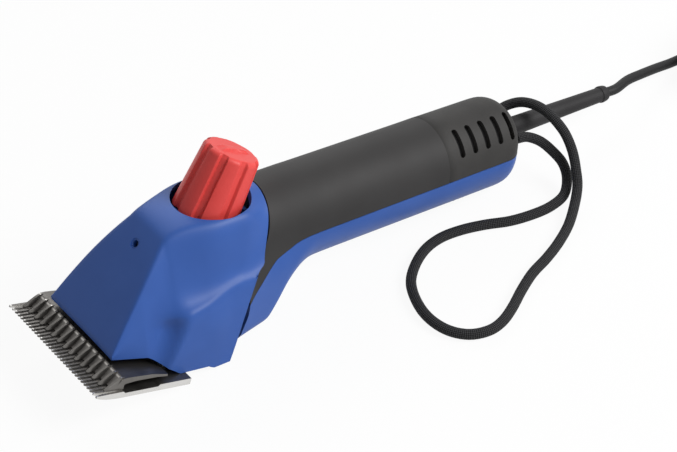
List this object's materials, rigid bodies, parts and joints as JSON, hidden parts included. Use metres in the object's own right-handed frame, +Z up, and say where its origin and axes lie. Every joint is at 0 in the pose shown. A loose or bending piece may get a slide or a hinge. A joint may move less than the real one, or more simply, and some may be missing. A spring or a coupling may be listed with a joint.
{
  "type": "animal clipper",
  "caption": "Corded animal clipper: comb and sliding cutter under a blue head, tension knob, motor in a charcoal and blue handle, wrist loop and mains lead.",
  "frame": {"origin": "on the table under the middle of the clipper's length, comb tips to strain relief, on its plane of symmetry", "axes": "+X along the clipper from the comb towards the cord, +Z up from the table that it lies on, +Y to the left of someone who looks along +X"},
  "size_m": [0.5004, 0.1541, 0.0965],
  "materials": {
    "head_housing": "moulded royal blue plastic, satin",
    "knob_cup": "moulded royal blue plastic, satin",
    "screw_pillars": "moulded royal blue plastic, satin",
    "comb_bed": "cast, machined faces",
    "bed_posts": "cast, machined faces",
    "comb": "ground tool steel",
    "comb_screws": "machined",
    "fulcrum_post": "machined",
    "tension_bushing": "sintered or turned brass",
    "bed_screws": "machined",
    "head_screws": "machined",
    "gear_case": "cast, machined faces",
    "front_bearing": "machined",
    "crank_bearing": "sintered or turned brass",
    "stator_mounts": "moulded rubber",
    "stator_core": "varnished lamination stack",
    "field_coils": "varnished copper winding",
    "brush_ring": "moulded phenolic",
    "brush_holders": "sintered or turned brass",
    "carbon_brushes": "pressed carbon",
    "brush_springs": "machined",
    "rear_bracket": "cast, machined faces",
    "rear_bearing": "machined",
    "handle_upper": "charcoal moulded plastic, satin",
    "handle_lower": "moulded royal blue plastic, satin",
    "rear_cap": "charcoal moulded plastic with a fine grain",
    "air_filter": "open filter foam",
    "switch_body": "moulded plastic",
    "suppressor": "moulded plastic",
    "handle_screws": "machined",
    "cord_clamp": "moulded plastic",
    "strain_relief": "moulded rubber",
    "loop_anchor": "moulded plastic",
    "tension_pin": "machined",
    "tension_knob": "red moulded plastic",
    "tension_screw": "machined",
    "spring_seat": "machined",
    "tension_spring": "machined",
    "lever": "machined",
    "lever_cones": "machined",
    "cutter": "hardened dark steel",
    "crank_shaft": "machined",
    "drive_gear": "moulded nylon",
    "crank_roller": "machined",
    "armature_shaft": "machined",
    "armature_core": "varnished lamination stack",
    "armature_windings": "varnished copper winding",
    "commutator": "sintered or turned brass",
    "cooling_fan": "moulded nylon",
    "pinion": "machined",
    "switch_slider": "moulded plastic",
    "wrist_loop": "braided black cord",
    "mains_cord": "round rubber sheath",
    "cord_coil": "round rubber sheath",
    "plug_lead": "round rubber sheath",
    "coil_tie": "woven tie",
    "plug_body": "moulded black plastic",
    "plug_pins": "sintered or turned brass"
  },
  "bodies": {
    "frame": {"head_housing": "head_housing", "knob_cup": "knob_cup", "screw_pillars": "screw_pillars", "comb_bed": "comb_bed", "bed_posts": "bed_posts", "comb": "comb", "comb_screws": "comb_screws", "fulcrum_post": "fulcrum_post", "tension_bushing": "tension_bushing", "bed_screws": "bed_screws", "head_screws": "head_screws", "gear_case": "gear_case", "front_bearing": "front_bearing", "crank_bearing": "crank_bearing", "stator_mounts": "stator_mounts", "stator_core": "stator_core", "field_coils": "field_coils", "brush_ring": "brush_ring", "brush_holders": "brush_holders", "carbon_brushes": "carbon_brushes", "brush_springs": "brush_springs", "rear_bracket": "rear_bracket", "rear_bearing": "rear_bearing", "handle_upper": "handle_upper", "handle_lower": "handle_lower", "rear_cap": "rear_cap", "air_filter": "air_filter", "switch_body": "switch_body", "suppressor": "suppressor", "handle_screws": "handle_screws", "cord_clamp": "cord_clamp", "strain_relief": "strain_relief", "loop_anchor": "loop_anchor", "tension_pin": "tension_pin", "tension_spring": "tension_spring", "wrist_loop": "wrist_loop", "mains_cord": "mains_cord", "cord_coil": "cord_coil", "plug_lead": "plug_lead", "coil_tie": "coil_tie", "plug_body": "plug_body", "plug_pins": "plug_pins"},
    "seat": {"spring_seat": "spring_seat"},
    "knob": {"tension_knob": "tension_knob", "tension_screw": "tension_screw"},
    "lever": {"lever": "lever", "lever_cones": "lever_cones", "cutter": "cutter"},
    "armature": {"armature_shaft": "armature_shaft", "armature_core": "armature_core", "armature_windings": "armature_windings", "commutator": "commutator", "cooling_fan": "cooling_fan", "pinion": "pinion"},
    "crank": {"crank_shaft": "crank_shaft", "drive_gear": "drive_gear", "crank_roller": "crank_roller"},
    "slider": {"switch_slider": "switch_slider"}
  },
  "joints": [
    {"name": "knob_feed", "type": "slide", "parent": "frame", "child": "seat", "axis": [0.5288, 0, 0.8488], "range_m": [0, 0.0025], "deforming": ["tension_spring"]},
    {"name": "knob_turn", "type": "hinge", "parent": "seat", "child": "knob", "pos_m": [-0.08313, 0, 0.06176], "axis": [0.5288, 0, 0.8488], "range_deg": [0, 720]},
    {"name": "lever_swing", "type": "hinge", "parent": "frame", "child": "lever", "pos_m": [-0.10959, 0, 0.01724], "axis": [0.3342, 0, 0.9425], "range_deg": [-2.9, 2.9]},
    {"name": "armature_spin", "type": "hinge", "parent": "frame", "child": "armature", "pos_m": [-0.05739, 0, 0.04393], "axis": [0.9927, 0, -0.1206], "continuous": true},
    {"name": "crank_spin", "type": "hinge", "parent": "frame", "child": "crank", "pos_m": [-0.05938, 0, 0.02755], "axis": [0.9927, 0, -0.1206], "continuous": true},
    {"name": "switch_slide", "type": "slide", "parent": "frame", "child": "slider", "axis": [0.9927, 0, -0.1206], "range_m": [0, 0.006]}
  ],
  "couplings": [
    {"joint": "knob_turn", "follows": "knob_feed", "rad_per_m": 5026.5},
    {"joint": "crank_spin", "follows": "armature_spin", "ratio": -0.25}
  ]
}
